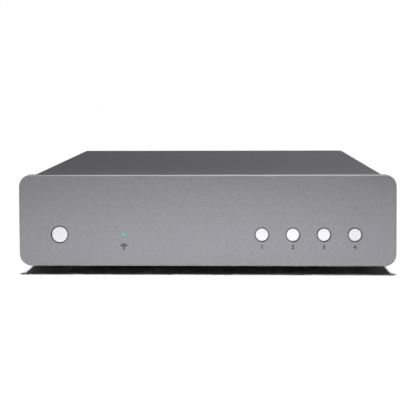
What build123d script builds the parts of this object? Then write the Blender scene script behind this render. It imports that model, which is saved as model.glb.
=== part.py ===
from build123d import *
import os

# A compact network music streamer. An aluminium face stands before a steel case on four feet.
# It has five press buttons, a row of jacks at the back and two folding antennas.
# Sizes are in millimetres. X runs to the right as seen from the front, Y to the back and Z up.
# The origin is on the floor, under the middle of the whole object with its antennas folded.

# Case
case_width = 215.0
case_depth = 181.0
sheet_thickness = 1.0
slide_clearance = 0.3
hole_clearance = 0.15
cut_overrun = 2.0

# Face plate
face_height = 52.0
face_thickness = 4.0
face_corner_radius = 6.5
face_edge_chamfer = 0.45
face_floor_gap = 5.0
face_screw_top_inset = 11.5
face_screw_bottom_inset = 37.5
face_screw_edge_gap = 7.0

# Top cover, one sheet bent round the top, the sides and a strip of the underside
cover_side_inset = 2.5
cover_edge_drop = 0.8
cover_top_bend = 6.0
cover_bottom_bend = 3.0
cover_return_width = 12.0
cover_front_gap = 0.3
cover_rear_overhang = 1.0
cover_screw_shares = (0.15, 0.5, 0.85)

# Base pan
pan_side_flange = 12.0
pan_rear_flange = 6.0
pan_corner_relief = 2.0
vent_length = 34.0
vent_width = 2.6
vent_pitch = 6.0
vent_count = 8
vent_side_shares = (-0.33, 0.28)
vent_depth_share = 0.55

# Rear panel
rear_panel_thickness = 1.2
rear_panel_top_flange = 8.0
rear_panel_flange_side_gap = 12.0
rear_screw_shares = (-0.9, -0.28, 0.28, 0.9)
window_clearance = 0.25

# Feet
foot_top_radius = 11.0
foot_bottom_radius = 10.0
foot_edge_round = 0.8
foot_recess_radius = 4.2
foot_recess_depth = 3.2
foot_side_inset = 29.5
foot_end_inset = 28.0

# Screws and standoffs
screw_radius = 1.45
screw_head_radius = 2.75
screw_head_height = 1.9
screw_head_chamfer = 0.5
screw_tip_room = 0.5
case_screw_length = 3.5
foot_screw_length = 8.0
board_screw_length = 5.0
standoff_height = 6.0
standoff_width = 5.0

# Buttons
button_drop = 8.0
button_proud = 0.05
button_edge_chamfer = 0.35
button_gap = 0.45
button_travel = 0.5
button_collar_overlap = 1.2
button_collar_thickness = 1.0
button_collar_pocket = 2.0
button_seat_gap = 0.05
button_stem_radius = 2.0
button_fit = 0.08
power_button_diameter = 9.2
power_button_inset = 23.3
preset_button_diameter = 7.4
preset_button_inset = 23.55
preset_pitch = 17.55
preset_count = 4

# Button guides, clipped to the front wall of the pan
guide_thickness = 1.5
guide_height = 13.0
guide_end_margin = 10.0
guide_corner_radius = 2.0
guide_peg_radius = 1.2
guide_peg_edge_gap = 2.2

# Push switches under the buttons
switch_side = 6.2
switch_height = 3.4
switch_well_depth = 1.8
actuator_radius = 1.7
actuator_reach = 1.6
actuator_sink = 0.8

# Status lamp and its light pipe
lamp_inset = 60.0
pipe_tip_radius = 0.65
pipe_tip_length = 1.6
pipe_radius = 1.5
pipe_fit = 0.05
lamp_width = 1.6
lamp_height = 0.7
lamp_breadth = 0.8
lamp_gap = 0.3

# Circuit boards
board_thickness = 1.6
board_hole_inset = 5.0
board_rear_gap = 0.6
board_front_gap = 37.0
board_rear_hole_setback = 21.0
board_side_gap = 4.7
board_split_gap = 8.0
board_split_share = 0.314
board_notch_width = 14.0
board_notch_depth = 6.0
front_board_height = 24.0
front_board_side_gap = 1.2
front_board_floor_gap = 4.7
front_board_hole_inset = 4.0

# Chips on the main board, each with its place as shares of the board's width and length
processor_side = 15.0
processor_height = 1.6
memory_width = 11.0
memory_length = 8.0
memory_height = 1.2
converter_side = 7.0
converter_height = 1.1
filter_width = 12.7
filter_length = 8.0
filter_height = 5.6
processor_share = (0.24, 0.3)
memory_share = (0.24, 0.45)
converter_shares = ((0.7, 0.68), (0.88, 0.68))
filter_share = (0.3, 0.72)

# Electrolytic capacitors, standing on both boards
capacitor_radius = 6.2
capacitor_height = 20.0
capacitor_crimp_depth = 0.5
capacitor_crimp_height = 2.2
capacitor_top_round = 0.8
main_capacitor_shares = ((0.72, 0.22), (0.86, 0.22), (0.72, 0.42), (0.86, 0.42))
supply_capacitor_shares = ((0.22, 0.62), (0.22, 0.76), (0.5, 0.12))

# Network module
module_width = 22.0
module_length = 32.0
module_board_thickness = 1.0
module_share = (0.44, 0.33)
shield_margin = 1.0
shield_lead_strip = 6.0
shield_height = 2.6
shield_wall = 0.3
shield_corner_radius = 1.0

# Transformer
core_width = 32.0
core_height = 26.0
core_stack = 14.0
core_yoke = 5.0
core_outer_leg = 5.5
core_middle_leg = 10.0
winding_gap = 0.25
winding_corner_radius = 3.0
transformer_share = (0.5, 0.4)

# Heat sink
sink_width = 22.0
sink_base = 2.4
sink_fin_length = 10.0
sink_fin_thickness = 1.2
sink_fin_count = 6
sink_height = 24.0
sink_share = (0.74, 0.7)

# Rear jacks between the mains inlet and the phono jacks, as shares of the way between them
usb_share = 0.414
ethernet_share = 0.621
optical_share = 0.81

# Mains inlet, a two-pole socket of figure-eight form
inlet_side_inset = 39.5
inlet_width = 21.0
inlet_height = 15.0
inlet_length = 20.0
inlet_proud = 1.5
inlet_lobe_radius = 3.7
inlet_waist_height = 5.8
inlet_depth = 12.0
inlet_lip_width = 2.0
inlet_lip_thickness = 1.2
inlet_corner_radius = 1.5
pin_pitch = 8.6
pin_radius = 1.2
pin_length = 9.0
pin_tip_chamfer = 0.6
pin_root = 2.0
pin_fit = 0.05

# Phono jacks, two for line out and one for coaxial digital out
phono_count = 3
phono_pitch = 18.0
phono_side_inset = 23.5
phono_block_margin = 9.0
phono_block_height = 16.0
phono_block_length = 12.0
phono_axis_height = 8.0
phono_sleeve_radius = 4.15
phono_sleeve_wall = 0.8
phono_sleeve_reach = 8.0
phono_collar_radius = 5.4
phono_collar_thickness = 1.0
phono_root = 5.0
phono_fit = 0.05
phono_insert_sink = 0.5
phono_bore_radius = 1.65
phono_bore_depth = 9.0

# Optical jack with a sprung shutter
optical_width = 10.2
optical_height = 10.6
optical_length = 14.0
optical_proud = 2.0
optical_corner_radius = 0.8
optical_floor = 1.8
optical_cavity_width = 6.8
optical_cavity_height = 7.0
optical_cavity_depth = 8.8
optical_lip_thickness = 0.8
optical_mouth_width = 5.8
optical_mouth_height = 5.8
optical_mouth_round = 1.0
shutter_side_gap = 0.2
shutter_thickness = 0.8
shutter_lip_gap = 0.1
shutter_top_gap = 0.3
shutter_foot_gap = 0.2
shutter_pin_radius = 0.35
shutter_pin_length = 0.9
shutter_fit = 0.05

# Serial bus port
usb_width = 13.1
usb_height = 5.9
usb_length = 15.0
usb_proud = 0.8
usb_wall = 0.4
usb_corner_radius = 0.8
usb_root = 5.0
usb_fit = 0.05
usb_tongue_width = 11.2
usb_tongue_thickness = 1.9
usb_tongue_rise = 0.8
usb_tongue_setback = 0.9

# Wired network jack
ethernet_width = 16.2
ethernet_height = 13.5
ethernet_length = 21.0
ethernet_proud = 0.8
ethernet_corner_radius = 0.8
ethernet_floor = 2.4
ethernet_mouth_width = 11.8
ethernet_mouth_height = 7.4
ethernet_latch_width = 6.2
ethernet_latch_height = 1.6
ethernet_depth = 13.0
contact_count = 8
contact_pitch = 1.02
contact_radius = 0.2
contact_fit = 0.05
contact_root = 0.5
contact_drop = 2.2
contact_setback = 3.5
contact_run = 6.5

# Antennas, each with a swivel on the rear panel and a hinge
antenna_side_inset = 19.5
antenna_top_drop = 13.0
antenna_thread_radius = 3.1
antenna_thread_length = 6.0
antenna_collar_radius = 6.0
antenna_collar_thickness = 1.6
antenna_nut_width = 9.0
antenna_nut_thickness = 2.2
spigot_radius = 2.5
spigot_length = 5.4
spigot_bead = 0.2
spigot_bead_length = 0.8
spigot_fit = 0.05
swivel_gap = 0.3
knuckle_radius = 6.0
knuckle_length = 6.6
knuckle_edge_chamfer = 0.5
knuckle_end_gap = 0.4
hinge_reach = 14.5
ear_radius = 5.0
ear_thickness = 2.7
hinge_slot = 4.6
hinge_side_gap = 0.15
hinge_tip_gap = 0.3
hinge_pin_radius = 1.5
hinge_fit = 0.05
whip_middle_gap = 5.0
whip_shoulder = 6.0
whip_root_radius = 4.5
whip_tip_radius = 3.6
whip_tip_round = 2.2
whip_neck_length = 3.0

# Leads inside the case
lead_radius = 0.6
lead_bend = 6.0
lead_plug_radius = 1.3
lead_plug_height = 1.4
lead_edge_gap = 3.0
ribbon_width = 16.0
ribbon_thickness = 0.5
ribbon_bend = 4.0
ribbon_side_inset = 20.0
ribbon_rise = 14.0
ribbon_plug_margin = 1.2
ribbon_plug_length = 5.0
ribbon_plug_height = 6.0
ribbon_board_gap = 3.0
harness_share = 0.53
harness_edge_gap = 6.0
harness_wire_count = 3
harness_wire_radius = 0.9
harness_wire_pitch = 2.6
harness_rise = 7.0
harness_bend = 3.0
harness_plug_margin = 1.6
harness_plug_width = 5.5
harness_plug_height = 6.0

# Levels and places that follow from the sizes
overall_depth = button_proud + case_depth + hinge_reach + ear_radius
face_front = button_proud - overall_depth / 2
face_back = face_front + face_thickness
face_left = -case_width / 2
face_right = case_width / 2
face_bottom = face_floor_gap
face_top = face_bottom + face_height
rear_outside = face_front + case_depth
rear_inside = rear_outside - rear_panel_thickness
cover_half_width = case_width / 2 - cover_side_inset
cover_top = face_top - cover_edge_drop
cover_bottom = face_bottom + cover_edge_drop
cover_front = face_back + cover_front_gap
cover_rear = rear_outside + cover_rear_overhang
pan_bottom = cover_bottom + sheet_thickness
pan_floor = pan_bottom + sheet_thickness
pan_half_width = cover_half_width - sheet_thickness - slide_clearance
pan_bend = cover_bottom_bend - sheet_thickness
wall_top = cover_top - sheet_thickness - slide_clearance
wall_back = face_back + sheet_thickness
board_bottom = pan_floor + standoff_height
board_top = board_bottom + board_thickness
front_board_front = wall_back + standoff_height
front_board_back = front_board_front + board_thickness
front_board_bottom = pan_floor + front_board_floor_gap
front_board_half_width = pan_half_width - sheet_thickness - front_board_side_gap
button_height = (face_bottom + face_top) / 2 - button_drop
power_button_place = face_left + power_button_inset
preset_places = [
    face_right - preset_button_inset - preset_pitch * (preset_count - 1 - number)
    for number in range(preset_count)
]
button_stem_end = front_board_front - switch_height - actuator_reach - face_front
lamp_place = face_left + lamp_inset
boards_front = face_front + face_thickness + board_front_gap
boards_rear = rear_inside - board_rear_gap
boards_length = boards_rear - boards_front
supply_left = -pan_half_width + sheet_thickness + board_side_gap
board_split = face_left + board_split_share * case_width
supply_right = board_split - board_split_gap / 2
main_left = board_split + board_split_gap / 2
main_right = pan_half_width - sheet_thickness - board_side_gap
phono_places = [
    face_right - phono_side_inset - phono_pitch * (phono_count - 1 - number)
    for number in range(phono_count)
]
phono_height = board_top + phono_axis_height
inlet_place = face_left + inlet_side_inset
jack_span = phono_places[0] - inlet_place
usb_place = inlet_place + usb_share * jack_span
ethernet_place = inlet_place + ethernet_share * jack_span
optical_place = inlet_place + optical_share * jack_span
ribbon_place = main_left + ribbon_side_inset
antenna_place = face_right - antenna_side_inset
whip_reach = antenna_place - whip_middle_gap
antenna_height = face_top - antenna_top_drop
hinge_depth = rear_outside + hinge_reach
foot_place = case_width / 2 - foot_side_inset

toward_front = (0, -1, 0)
toward_back = (0, 1, 0)
upward = (0, 0, 1)
downward = (0, 0, -1)


# Shared forms


def box_between(left, right, front, back, bottom, top):
    middle = ((left + right) / 2, (front + back) / 2, (bottom + top) / 2)
    return Pos(*middle) * Box(right - left, back - front, top - bottom)


def turned(points):
    # A solid of revolution about the Z axis from points of radius and height
    return revolve(make_face(Plane.XZ * Polyline(*points, close=True)), Axis.Z)


def placed(piece, place, toward):
    return Plane(origin=place, z_dir=toward).location * piece


def rod(place, toward, radius, length):
    return placed(extrude(Circle(radius), amount=length), place, toward)


def upright(x, y, z):
    # A drawing plane that faces the front, with its own up along Z
    return Plane(origin=(x, y, z), x_dir=(1, 0, 0), z_dir=toward_front)


def upright_plate(x, z, width, height, corner, front, back):
    outline = RectangleRounded(width, height, corner)
    return extrude(upright(x, back, z) * outline, amount=back - front)


def flat_plate(x, y, width, length, corner, bottom, top):
    outline = RectangleRounded(width, length, corner)
    return extrude(Pos(x, y, bottom) * outline, amount=top - bottom)


def bent_strip(points, bends, thickness):
    # A strip of sheet drawn along its middle line
    return trace(FilletPolyline(*points, radius=bends), line_width=thickness)


def joined(pieces):
    whole = pieces[0]
    for piece in pieces[1:]:
        whole = whole + piece
    return whole


def group(pieces):
    return Compound(children=[solid for piece in pieces for solid in piece.solids()])


def across(piece):
    # The same piece on the other side of the case
    return mirror(piece, about=Plane.YZ)


# Screws and standoffs


def screw(length):
    # A pan-head screw along Z, with the underside of its head at the origin
    crown = screw_head_radius - screw_head_chamfer
    shoulder = screw_head_chamfer - screw_head_height
    return turned([
        (0, -screw_head_height),
        (crown, -screw_head_height),
        (screw_head_radius, shoulder),
        (screw_head_radius, 0),
        (screw_radius, 0),
        (screw_radius, length),
        (0, length),
    ])


def screw_hole(place, toward, depth):
    back_up = tuple(-cut_overrun * step for step in toward)
    start = tuple(value + step for value, step in zip(place, back_up))
    return rod(start, toward, screw_radius + hole_clearance, depth + cut_overrun)


def face_screw_places():
    top_row = face_top - face_screw_edge_gap - cover_edge_drop
    bottom_row = face_bottom + face_screw_edge_gap
    top_reach = face_right - face_screw_top_inset
    bottom_reach = face_right - face_screw_bottom_inset
    tops = [(x, wall_back, top_row) for x in (-top_reach, 0, top_reach)]
    bottoms = [(x, wall_back, bottom_row) for x in (-bottom_reach, 0, bottom_reach)]
    return tops + bottoms


def cover_screw_places():
    x = cover_half_width - cover_return_width / 2
    length = cover_rear - cover_front
    rows = [cover_front + share * length for share in cover_screw_shares]
    return [(side * x, y, cover_bottom) for side in (-1, 1) for y in rows]


def rear_screw_places():
    z = pan_bottom + pan_rear_flange / 2 + sheet_thickness / 2
    return [(share * pan_half_width, rear_outside, z) for share in rear_screw_shares]


def phono_screw_places():
    middles = [(first + second) / 2 for first, second in zip(phono_places, phono_places[1:])]
    return [(x, rear_outside, phono_height) for x in middles]


def case_screws():
    one = screw(case_screw_length)
    fronts = [placed(one, place, toward_front) for place in face_screw_places()]
    lowers = [placed(one, place, upward) for place in cover_screw_places()]
    rears = [placed(one, place, toward_front) for place in rear_screw_places()]
    jacks = [placed(one, place, toward_front) for place in phono_screw_places()]
    return group(fronts + lowers + rears + jacks)


def board_hole_places(left, right):
    xs = (left + board_hole_inset, right - board_hole_inset)
    ys = (boards_front + board_hole_inset, boards_rear - board_rear_hole_setback)
    return [(x, y) for x in xs for y in ys]


def flat_board_hole_places():
    return board_hole_places(supply_left, supply_right) + board_hole_places(main_left, main_right)


def front_board_hole_places():
    x = front_board_half_width - front_board_hole_inset
    low = front_board_bottom + front_board_hole_inset
    high = front_board_bottom + front_board_height - front_board_hole_inset
    return [(side * x, z) for side in (-1, 1) for z in (low, high)]


def board_screws():
    one = screw(board_screw_length)
    flats = [placed(one, (x, y, board_top), downward) for x, y in flat_board_hole_places()]
    fronts = [
        placed(one, (x, front_board_back, z), toward_front) for x, z in front_board_hole_places()
    ]
    return group(flats + fronts)


def board_standoffs():
    outline = RegularPolygon(radius=standoff_width / 2, side_count=6, major_radius=False)
    bore = Circle(screw_radius + hole_clearance)
    one = extrude(outline - bore, amount=standoff_height)
    flats = [placed(one, (x, y, pan_floor), upward) for x, y in flat_board_hole_places()]
    fronts = [placed(one, (x, wall_back, z), toward_back) for x, z in front_board_hole_places()]
    return group(flats + fronts)


# Case sheets and the face


def button_places():
    power = (power_button_place, power_button_diameter / 2)
    return [power] + [(x, preset_button_diameter / 2) for x in preset_places]


def face_plate():
    middle = (face_bottom + face_top) / 2
    plate = upright_plate(
        0, middle, case_width, face_height, face_corner_radius, face_front, face_back
    )
    plate = chamfer(plate.faces().sort_by(Axis.Y)[0].edges(), length=face_edge_chamfer)
    for x, cap_radius in button_places():
        start = (x, face_front - cut_overrun, button_height)
        hole = cap_radius + button_gap
        pocket = cap_radius + button_collar_overlap + button_gap
        plate -= rod(start, toward_back, hole, face_thickness + 2 * cut_overrun)
        plate -= rod((x, face_back, button_height), toward_front, pocket, button_collar_pocket)
    start = (lamp_place, face_front - cut_overrun, button_height)
    plate -= rod(start, toward_back, pipe_tip_radius + pipe_fit, face_thickness + cut_overrun)
    wide_bore = face_thickness - pipe_tip_length + pipe_fit
    start = (lamp_place, face_back, button_height)
    plate -= rod(start, toward_front, pipe_radius + pipe_fit, wide_bore)
    blind = case_screw_length - sheet_thickness + screw_tip_room
    for x, y, z in face_screw_places():
        plate -= screw_hole((x, face_back, z), toward_front, blind)
    return plate


def top_cover():
    side = cover_half_width - sheet_thickness / 2
    top = cover_top - sheet_thickness / 2
    bottom = cover_bottom + sheet_thickness / 2
    inner = cover_half_width - cover_return_width
    low_bend = cover_bottom_bend - sheet_thickness / 2
    high_bend = cover_top_bend - sheet_thickness / 2
    corners = [
        (-inner, bottom), (-side, bottom), (-side, top), (side, top), (side, bottom), (inner, bottom),
    ]
    section = bent_strip(corners, [low_bend, high_bend, high_bend, low_bend], sheet_thickness)
    sheet = extrude(upright(0, cover_rear, 0) * section, amount=cover_rear - cover_front)
    for place in cover_screw_places():
        sheet -= screw_hole(place, upward, sheet_thickness + cut_overrun)
    return sheet


def vent_slots():
    slot = SlotOverall(vent_length, vent_width, rotation=90)
    y = face_front + vent_depth_share * case_depth
    slots = []
    for share in vent_side_shares:
        for number in range(vent_count):
            x = share * case_width + vent_pitch * (number - (vent_count - 1) / 2)
            start = Pos(x, y, pan_bottom - cut_overrun) * slot
            slots.append(extrude(start, amount=sheet_thickness + 2 * cut_overrun))
    return slots


def base_pan():
    half = sheet_thickness / 2
    bend = pan_bend - half
    side = pan_half_width - half
    floor = pan_bottom + half
    flange_top = pan_bottom + pan_side_flange
    front = face_back + half
    rear = rear_inside - half
    tray_ends = pan_half_width - pan_bend - pan_corner_relief
    flange_ends = pan_bend + pan_corner_relief

    cross = [(-side, flange_top), (-side, floor), (side, floor), (side, flange_top)]
    cross_section = bent_strip(cross, bend, sheet_thickness)
    cross_length = rear_inside - face_back - 2 * flange_ends
    tray = extrude(upright(0, rear_inside - flange_ends, 0) * cross_section, amount=cross_length)

    along = [
        (front, wall_top), (front, floor), (rear, floor), (rear, pan_bottom + pan_rear_flange),
    ]
    side_view = Plane(origin=(-tray_ends, 0, 0), x_dir=(0, 1, 0), z_dir=(1, 0, 0))
    ends = extrude(side_view * bent_strip(along, bend, sheet_thickness), amount=2 * tray_ends)
    top_corners = ends.edges().filter_by(Axis.Y).group_by(Axis.Z)[-1]
    pan = tray + fillet(top_corners, radius=cover_top_bend)

    for x, cap_radius in button_places():
        window = cap_radius + button_collar_overlap + button_gap + hole_clearance
        start = (x, face_back - cut_overrun, button_height)
        pan -= rod(start, toward_back, window, sheet_thickness + 2 * cut_overrun)
    for x, z in guide_peg_places():
        start = (x, face_back - cut_overrun, z)
        hole = guide_peg_radius + hole_clearance
        pan -= rod(start, toward_back, hole, sheet_thickness + 2 * cut_overrun)
    start = (lamp_place, face_back - cut_overrun, button_height)
    hole = pipe_radius + hole_clearance
    pan -= rod(start, toward_back, hole, sheet_thickness + 2 * cut_overrun)
    through = sheet_thickness + cut_overrun
    for place in face_screw_places():
        pan -= screw_hole(place, toward_front, through)
    for x, y, z in cover_screw_places():
        pan -= screw_hole((x, y, pan_bottom), upward, through)
    for x, y, z in rear_screw_places():
        pan -= screw_hole((x, rear_inside, z), toward_front, through)
    for x, y in foot_places():
        pan -= screw_hole((x, y, pan_bottom), upward, through)
    for slot in vent_slots():
        pan -= slot
    return pan


def rear_window(x, z, width, height, corner):
    # A window through the rear panel with room all round a jack
    across_room = width + 2 * window_clearance
    up_room = height + 2 * window_clearance
    front = rear_inside - cut_overrun
    back = rear_outside + cut_overrun
    return upright_plate(x, z, across_room, up_room, corner + window_clearance, front, back)


def rear_panel():
    bottom = pan_bottom + slide_clearance
    height = wall_top - bottom
    corner = cover_top_bend - sheet_thickness
    middle = (wall_top + bottom) / 2
    panel = upright_plate(
        0, middle, 2 * pan_half_width, height, corner, rear_inside, rear_outside
    )
    flange_half = pan_half_width - rear_panel_flange_side_gap
    flange_front = rear_outside - rear_panel_top_flange
    flange = box_between(
        -flange_half, flange_half, flange_front, rear_outside,
        wall_top - rear_panel_thickness, wall_top,
    )
    panel = panel + flange
    outer_edge = panel.edges().filter_by(Axis.X).group_by(Axis.Z)[-1].sort_by(Axis.Y)[-1]
    panel = fillet(outer_edge, radius=rear_panel_thickness / 2)

    panel -= rear_window(
        inlet_place, inlet_middle(), inlet_width, inlet_height, inlet_corner_radius
    )
    panel -= rear_window(
        usb_place, board_top + usb_height / 2, usb_width, usb_height, usb_corner_radius
    )
    panel -= rear_window(
        ethernet_place, board_top + ethernet_height / 2,
        ethernet_width, ethernet_height, ethernet_corner_radius,
    )
    panel -= rear_window(
        optical_place, board_top + optical_height / 2,
        optical_width, optical_height, optical_corner_radius,
    )
    through = rear_panel_thickness + 2 * cut_overrun
    for x in phono_places:
        start = (x, rear_outside + cut_overrun, phono_height)
        panel -= rod(start, toward_front, phono_sleeve_radius + hole_clearance, through)
    for side in (-1, 1):
        start = (side * antenna_place, rear_outside + cut_overrun, antenna_height)
        panel -= rod(start, toward_front, antenna_thread_radius + hole_clearance, through)
    for place in rear_screw_places() + phono_screw_places():
        panel -= screw_hole(place, toward_front, rear_panel_thickness + cut_overrun)
    return panel


# Feet


def foot_places():
    front = face_front + foot_end_inset
    rear = rear_outside - foot_end_inset
    return [(side * foot_place, y) for side in (-1, 1) for y in (front, rear)]


def foot(x, y):
    hole = screw_radius + hole_clearance
    body = turned([
        (hole, pan_bottom),
        (foot_top_radius, pan_bottom),
        (foot_bottom_radius, 0),
        (foot_recess_radius, 0),
        (foot_recess_radius, foot_recess_depth),
        (hole, foot_recess_depth),
    ])
    rims = body.edges().filter_by(GeomType.CIRCLE).group_by(Axis.Z)[0]
    body = fillet(rims.sort_by(SortBy.RADIUS)[-1], radius=foot_edge_round)
    return Pos(x, y, 0) * body


def foot_screws():
    one = screw(foot_screw_length)
    return group([placed(one, (x, y, foot_recess_depth), upward) for x, y in foot_places()])


# Buttons, guides and switches


def button(x, diameter):
    # Cap, collar and stem in one turned piece, with depths from the front of the face
    cap = diameter / 2
    collar_front = face_thickness - button_collar_pocket + button_seat_gap
    collar_back = collar_front + button_collar_thickness
    body = turned([
        (0, -button_proud),
        (cap - button_edge_chamfer, -button_proud),
        (cap, button_edge_chamfer - button_proud),
        (cap, collar_front),
        (cap + button_collar_overlap, collar_front),
        (cap + button_collar_overlap, collar_back),
        (button_stem_radius, collar_back),
        (button_stem_radius, button_stem_end),
        (0, button_stem_end),
    ])
    return placed(body, (x, face_front, button_height), toward_back)


def switch_actuator(x):
    start = face_front + button_stem_end
    return rod((x, start, button_height), toward_back, actuator_radius, actuator_reach + actuator_sink)


def tact_switches():
    front = front_board_front - switch_height
    bodies = []
    for x, cap_radius in button_places():
        body = box_between(
            x - switch_side / 2, x + switch_side / 2, front, front_board_front,
            button_height - switch_side / 2, button_height + switch_side / 2,
        )
        start = (x, front, button_height)
        body -= rod(start, toward_back, actuator_radius + hole_clearance, switch_well_depth)
        bodies.append(body)
    return group(bodies)


def guide_spans():
    # The first and last stem that each guide carries
    return [
        (power_button_place, power_button_place),
        (preset_places[0], preset_places[-1]),
    ]


def guide_peg_places():
    places = []
    for first, last in guide_spans():
        reach = guide_end_margin - guide_peg_edge_gap
        places.append((first - reach, button_height))
        places.append((last + reach, button_height))
    return places


def button_guides():
    back = wall_back + guide_thickness
    guides = []
    for first, last in guide_spans():
        plate = upright_plate(
            (first + last) / 2, button_height, last - first + 2 * guide_end_margin, guide_height,
            guide_corner_radius, wall_back, back,
        )
        for x, cap_radius in button_places():
            if first <= x <= last:
                boss = cap_radius + button_collar_overlap + button_gap
                plate += rod((x, wall_back, button_height), toward_front, boss, sheet_thickness)
                start = (x, face_back - cut_overrun, button_height)
                bore = button_stem_radius + button_fit
                plate -= rod(start, toward_back, bore, guide_thickness + 2 * cut_overrun)
        for x, z in guide_peg_places():
            if first - guide_end_margin < x < last + guide_end_margin:
                plate += rod((x, wall_back, z), toward_front, guide_peg_radius, sheet_thickness)
        guides.append(plate)
    return group(guides)


def light_pipe():
    end = front_board_front - lamp_height - lamp_gap - face_front
    body = turned([
        (0, 0),
        (pipe_tip_radius, 0),
        (pipe_tip_radius, pipe_tip_length),
        (pipe_radius, pipe_tip_length),
        (pipe_radius, end),
        (0, end),
    ])
    return placed(body, (lamp_place, face_front, button_height), toward_back)


def status_lamp():
    return box_between(
        lamp_place - lamp_width / 2, lamp_place + lamp_width / 2,
        front_board_front - lamp_height, front_board_front,
        button_height - lamp_breadth / 2, button_height + lamp_breadth / 2,
    )


# Circuit boards and what stands on them


def front_board():
    board = box_between(
        -front_board_half_width, front_board_half_width, front_board_front, front_board_back,
        front_board_bottom, front_board_bottom + front_board_height,
    )
    for x, z in front_board_hole_places():
        board -= screw_hole((x, front_board_back, z), toward_front, board_thickness + cut_overrun)
    return board


def flat_board(left, right):
    board = box_between(left, right, boards_front, boards_rear, board_bottom, board_top)
    notch_middle = (left + right) / 2
    board -= box_between(
        notch_middle - board_notch_width / 2, notch_middle + board_notch_width / 2,
        boards_front - cut_overrun, boards_front + board_notch_depth,
        board_bottom - cut_overrun, board_top + cut_overrun,
    )
    for x, y in board_hole_places(left, right):
        board -= screw_hole((x, y, board_top), downward, board_thickness + cut_overrun)
    return board


def on_board(left, right, shares):
    # The place on a board at shares of its width and length
    return left + shares[0] * (right - left), boards_front + shares[1] * boards_length


def chip(shares, width, length, height):
    x, y = on_board(main_left, main_right, shares)
    return box_between(
        x - width / 2, x + width / 2, y - length / 2, y + length / 2, board_top, board_top + height
    )


def main_board_chips():
    chips = [
        chip(processor_share, processor_side, processor_side, processor_height),
        chip(memory_share, memory_width, memory_length, memory_height),
        chip(filter_share, filter_width, filter_length, filter_height),
    ]
    for shares in converter_shares:
        chips.append(chip(shares, converter_side, converter_side, converter_height))
    return group(chips)


def capacitor():
    waist = capacitor_radius - capacitor_crimp_depth
    crimp_bottom = capacitor_crimp_height - capacitor_crimp_depth
    crimp_top = capacitor_crimp_height + capacitor_crimp_depth
    return turned([
        (0, 0),
        (capacitor_radius, 0),
        (capacitor_radius, crimp_bottom),
        (waist, capacitor_crimp_height),
        (capacitor_radius, crimp_top),
        (capacitor_radius, capacitor_height - capacitor_top_round),
        (capacitor_radius - capacitor_top_round, capacitor_height),
        (0, capacitor_height),
    ])


def electrolytic_capacitors():
    places = [on_board(main_left, main_right, shares) for shares in main_capacitor_shares]
    places += [on_board(supply_left, supply_right, shares) for shares in supply_capacitor_shares]
    return group([placed(capacitor(), (x, y, board_top), upward) for x, y in places])


def module_middle():
    return on_board(main_left, main_right, module_share)


def network_module_board():
    x, y = module_middle()
    return box_between(
        x - module_width / 2, x + module_width / 2, y - module_length / 2, y + module_length / 2,
        board_top, board_top + module_board_thickness,
    )


def network_module_shield():
    x, y = module_middle()
    width = module_width - 2 * shield_margin
    length = module_length - 2 * shield_margin - shield_lead_strip
    y = y + shield_lead_strip / 2
    bottom = board_top + module_board_thickness
    top = bottom + shield_height
    can = flat_plate(x, y, width, length, shield_corner_radius, bottom, top)
    inner_corner = shield_corner_radius - shield_wall
    room = flat_plate(
        x, y, width - 2 * shield_wall, length - 2 * shield_wall, inner_corner,
        bottom - cut_overrun, top - shield_wall,
    )
    return can - room


def transformer_core():
    x, y = on_board(supply_left, supply_right, transformer_share)
    middle = board_top + core_height / 2
    window_width = (core_width - core_middle_leg) / 2 - core_outer_leg
    window_height = core_height - 2 * core_yoke
    window_offset = (core_middle_leg + window_width) / 2
    window = Rectangle(window_width, window_height)
    section = Rectangle(core_width, core_height)
    section -= Pos(-window_offset, 0) * window
    section -= Pos(window_offset, 0) * window
    return extrude(upright(x, y + core_stack / 2, middle) * section, amount=core_stack)


def transformer_winding():
    x, y = on_board(supply_left, supply_right, transformer_share)
    window_width = (core_width - core_middle_leg) / 2 - core_outer_leg
    build = window_width - 2 * winding_gap
    inner_width = core_middle_leg + 2 * winding_gap
    inner_length = core_stack + 2 * winding_gap
    outer = RectangleRounded(inner_width + 2 * build, inner_length + 2 * build, winding_corner_radius)
    section = outer - Rectangle(inner_width, inner_length)
    bottom = board_top + core_yoke + winding_gap
    height = core_height - 2 * core_yoke - 2 * winding_gap
    return extrude(Pos(x, y, bottom) * section, amount=height)


def heat_sink():
    x, y = on_board(supply_left, supply_right, sink_share)
    section = Rectangle(sink_width, sink_base)
    fin_step = (sink_width - sink_fin_thickness) / (sink_fin_count - 1)
    for number in range(sink_fin_count):
        offset = fin_step * number - (sink_width - sink_fin_thickness) / 2
        section += Pos(offset, (sink_base + sink_fin_length) / 2 - sink_base / 2) * Rectangle(
            sink_fin_thickness, sink_fin_length + sink_base
        )
    return extrude(Pos(x, y, board_top) * section, amount=sink_height)


# Mains inlet


def inlet_middle():
    return board_top + inlet_height / 2


def inlet_back():
    return rear_outside + inlet_proud


def mains_inlet():
    back = inlet_back()
    body = upright_plate(
        inlet_place, inlet_middle(), inlet_width, inlet_height, inlet_corner_radius,
        back - inlet_length, back,
    )
    lobe = Circle(inlet_lobe_radius)
    well = Rectangle(pin_pitch, inlet_waist_height)
    for side in (-1, 1):
        well += Pos(side * pin_pitch / 2, 0) * lobe
    cut = upright(inlet_place, back + cut_overrun, inlet_middle()) * well
    body -= extrude(cut, amount=inlet_depth + cut_overrun)
    for side in (-1, 1):
        start = (inlet_place + side * pin_pitch / 2, back - inlet_depth, inlet_middle())
        body -= rod(start, toward_front, pin_radius + pin_fit, pin_root)
    return body


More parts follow.
